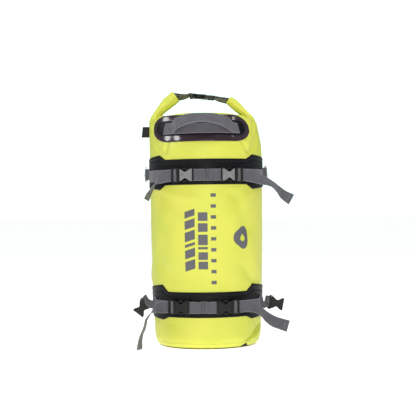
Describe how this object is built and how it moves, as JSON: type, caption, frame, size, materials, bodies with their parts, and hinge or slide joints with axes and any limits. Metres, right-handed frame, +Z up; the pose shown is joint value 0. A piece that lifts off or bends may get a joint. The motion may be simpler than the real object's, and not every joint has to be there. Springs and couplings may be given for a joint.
{
  "type": "roll-top tail bag",
  "caption": "Upright round roll-top dry bag with two welded bands, a grab handle, clipped webbing straps, D-rings and a rolled mouth closed by a side-release buckle.",
  "frame": {"origin": "centre of the flat base, on the surface the bag stands on", "axes": "+Z up along the bag, -Y the front with the grab handle and the buckles, +X to the right seen from the front"},
  "size_m": [0.3522, 0.2655, 0.56],
  "materials": {
    "lime_tarpaulin": "satin",
    "black_tarpaulin": "satin",
    "gloss_patch": "gloss",
    "grey_webbing": "matte",
    "black_webbing": "matte",
    "black_acetal": "satin",
    "grey_acetal": "satin",
    "steel_wire": "polished"
  },
  "bodies": {
    "bag": {"bag_shell": "lime_tarpaulin", "base_panel": "black_tarpaulin", "upper_band": "black_tarpaulin", "lower_band": "black_tarpaulin", "roll_middle": "lime_tarpaulin", "roll_arm_left": "lime_tarpaulin", "roll_arm_right": "lime_tarpaulin", "handle_patch": "gloss_patch", "handle_patch_inlay": "black_tarpaulin", "handle_base_webbing": "grey_webbing", "handle_foot_left": "grey_webbing", "handle_foot_right": "grey_webbing", "side_tab": "black_webbing", "upper_left_buckle_female": "grey_acetal", "upper_left_side_strap": "grey_webbing", "upper_right_buckle_female": "grey_acetal", "upper_right_side_strap": "grey_webbing", "lower_left_buckle_female": "black_acetal", "lower_left_side_strap": "grey_webbing", "lower_right_buckle_female": "black_acetal", "lower_right_side_strap": "grey_webbing", "upper_centre_webbing": "grey_webbing", "upper_back_webbing": "grey_webbing", "lower_centre_webbing": "grey_webbing", "lower_back_webbing": "grey_webbing", "ring_loop_left": "grey_webbing", "ring_loop_right": "grey_webbing", "spare_loop_left": "grey_webbing", "spare_loop_right": "grey_webbing", "closure_buckle_female": "black_acetal", "closure_strap_left": "grey_webbing", "closure_strap_right": "grey_webbing"},
    "upper_left_male": {"upper_left_buckle_male": "black_acetal", "upper_left_strap_tail": "grey_webbing"},
    "upper_left_arm_a": {"upper_left_latch_arm_a": "black_acetal"},
    "upper_left_arm_b": {"upper_left_latch_arm_b": "black_acetal"},
    "upper_right_male": {"upper_right_buckle_male": "black_acetal", "upper_right_strap_tail": "grey_webbing"},
    "upper_right_arm_a": {"upper_right_latch_arm_a": "black_acetal"},
    "upper_right_arm_b": {"upper_right_latch_arm_b": "black_acetal"},
    "lower_left_male": {"lower_left_buckle_male": "black_acetal", "lower_left_strap_tail": "grey_webbing"},
    "lower_left_arm_a": {"lower_left_latch_arm_a": "black_acetal"},
    "lower_left_arm_b": {"lower_left_latch_arm_b": "black_acetal"},
    "lower_right_male": {"lower_right_buckle_male": "black_acetal", "lower_right_strap_tail": "grey_webbing"},
    "lower_right_arm_a": {"lower_right_latch_arm_a": "black_acetal"},
    "lower_right_arm_b": {"lower_right_latch_arm_b": "black_acetal"},
    "closure_male": {"closure_buckle_male": "black_acetal"},
    "closure_arm_a": {"closure_latch_arm_a": "black_acetal"},
    "closure_arm_b": {"closure_latch_arm_b": "black_acetal"},
    "grab_handle": {"grab_handle": "grey_webbing"},
    "ring_left": {"d_ring_left": "steel_wire"},
    "ring_right": {"d_ring_right": "steel_wire"},
    "spare_left": {"spare_buckle_left": "black_acetal"},
    "spare_right": {"spare_buckle_right": "black_acetal"}
  },
  "joints": [
    {"name": "upper_left_unclip", "type": "slide", "parent": "bag", "child": "upper_left_male", "axis": [-0.9265, 0.3762, 0], "range_m": [0, 0.026], "deforming": ["upper_left_latch_arm_a", "upper_left_latch_arm_b"]},
    {"name": "upper_left_squeeze_a", "type": "hinge", "parent": "upper_left_male", "child": "upper_left_arm_a", "pos_m": [-0.05735, -0.11892, 0.3622], "axis": [-0.3762, -0.9265, 0], "range_deg": [0, 20], "stiffness_Nm_per_rad": 0.4},
    {"name": "upper_left_squeeze_b", "type": "hinge", "parent": "upper_left_male", "child": "upper_left_arm_b", "pos_m": [-0.05735, -0.11892, 0.3774], "axis": [-0.3762, -0.9265, 0], "range_deg": [-20, 0], "stiffness_Nm_per_rad": 0.4},
    {"name": "upper_right_unclip", "type": "slide", "parent": "bag", "child": "upper_right_male", "axis": [0.91, 0.4147, 0], "range_m": [0, 0.026], "deforming": ["upper_right_latch_arm_a", "upper_right_latch_arm_b"]},
    {"name": "upper_right_squeeze_a", "type": "hinge", "parent": "upper_right_male", "child": "upper_right_arm_a", "pos_m": [0.06229, -0.11641, 0.3774], "axis": [0.4147, -0.91, 0], "range_deg": [0, 20], "stiffness_Nm_per_rad": 0.4},
    {"name": "upper_right_squeeze_b", "type": "hinge", "parent": "upper_right_male", "child": "upper_right_arm_b", "pos_m": [0.06229, -0.11641, 0.3622], "axis": [0.4147, -0.91, 0], "range_deg": [-20, 0], "stiffness_Nm_per_rad": 0.4},
    {"name": "lower_left_unclip", "type": "slide", "parent": "bag", "child": "lower_left_male", "axis": [-0.8796, 0.4756, 0], "range_m": [0, 0.026], "deforming": ["lower_left_latch_arm_a", "lower_left_latch_arm_b"]},
    {"name": "lower_left_squeeze_a", "type": "hinge", "parent": "lower_left_male", "child": "lower_left_arm_a", "pos_m": [-0.06782, -0.10797, 0.083], "axis": [-0.4756, -0.8796, 0], "range_deg": [0, 20], "stiffness_Nm_per_rad": 0.4},
    {"name": "lower_left_squeeze_b", "type": "hinge", "parent": "lower_left_male", "child": "lower_left_arm_b", "pos_m": [-0.06782, -0.10797, 0.0982], "axis": [-0.4756, -0.8796, 0], "range_deg": [-20, 0], "stiffness_Nm_per_rad": 0.4},
    {"name": "lower_right_unclip", "type": "slide", "parent": "bag", "child": "lower_right_male", "axis": [0.9403, 0.3404, 0], "range_m": [0, 0.026], "deforming": ["lower_right_latch_arm_a", "lower_right_latch_arm_b"]},
    {"name": "lower_right_squeeze_a", "type": "hinge", "parent": "lower_right_male", "child": "lower_right_arm_a", "pos_m": [0.05111, -0.11681, 0.0982], "axis": [0.3404, -0.9403, 0], "range_deg": [0, 20], "stiffness_Nm_per_rad": 0.4},
    {"name": "lower_right_squeeze_b", "type": "hinge", "parent": "lower_right_male", "child": "lower_right_arm_b", "pos_m": [0.05111, -0.11681, 0.083], "axis": [0.3404, -0.9403, 0], "range_deg": [-20, 0], "stiffness_Nm_per_rad": 0.4},
    {"name": "closure_unclip", "type": "slide", "parent": "bag", "child": "closure_male", "axis": [0.9962, 0, -0.0872], "range_m": [0, 0.023], "deforming": ["closure_latch_arm_a", "closure_latch_arm_b", "closure_strap_right"]},
    {"name": "closure_squeeze_a", "type": "hinge", "parent": "closure_male", "child": "closure_arm_a", "pos_m": [0.00282, 0.02351, 0.54638], "axis": [0.0872, 0, 0.9962], "range_deg": [0, 20], "stiffness_Nm_per_rad": 0.4},
    {"name": "closure_squeeze_b", "type": "hinge", "parent": "closure_male", "child": "closure_arm_b", "pos_m": [0.00282, 0.00649, 0.54638], "axis": [0.0872, 0, 0.9962], "range_deg": [-20, 0], "stiffness_Nm_per_rad": 0.4},
    {"name": "grab_handle_swing", "type": "hinge", "parent": "bag", "child": "grab_handle", "pos_m": [-0.0075, -0.10816, 0.48148], "axis": [1, 0, 0], "range_deg": [-25, 50], "stiffness_Nm_per_rad": 0.05},
    {"name": "d_ring_left_swing", "type": "hinge", "parent": "bag", "child": "ring_left", "pos_m": [-0.13012, -0.01594, 0.3748], "axis": [0, 0, 1], "range_deg": [-15, 120]},
    {"name": "d_ring_right_swing", "type": "hinge", "parent": "bag", "child": "ring_right", "pos_m": [0.13012, -0.01594, 0.3748], "axis": [0, 0, 1], "range_deg": [-120, 15]},
    {"name": "spare_buckle_left_swing", "type": "hinge", "parent": "bag", "child": "spare_left", "pos_m": [-0.1335, -0.024, 0.096], "axis": [0.7915, 0, -0.6112], "range_deg": [-40, 40]},
    {"name": "spare_buckle_right_swing", "type": "hinge", "parent": "bag", "child": "spare_right", "pos_m": [0.134, -0.024, 0.093], "axis": [0.2, 0, 0.9798], "range_deg": [-40, 40]}
  ],
  "couplings": [
    {"joint": "upper_left_squeeze_b", "follows": "upper_left_squeeze_a", "ratio": -1},
    {"joint": "upper_right_squeeze_b", "follows": "upper_right_squeeze_a", "ratio": -1},
    {"joint": "lower_left_squeeze_b", "follows": "lower_left_squeeze_a", "ratio": -1},
    {"joint": "lower_right_squeeze_b", "follows": "lower_right_squeeze_a", "ratio": -1},
    {"joint": "closure_squeeze_b", "follows": "closure_squeeze_a", "ratio": -1}
  ]
}
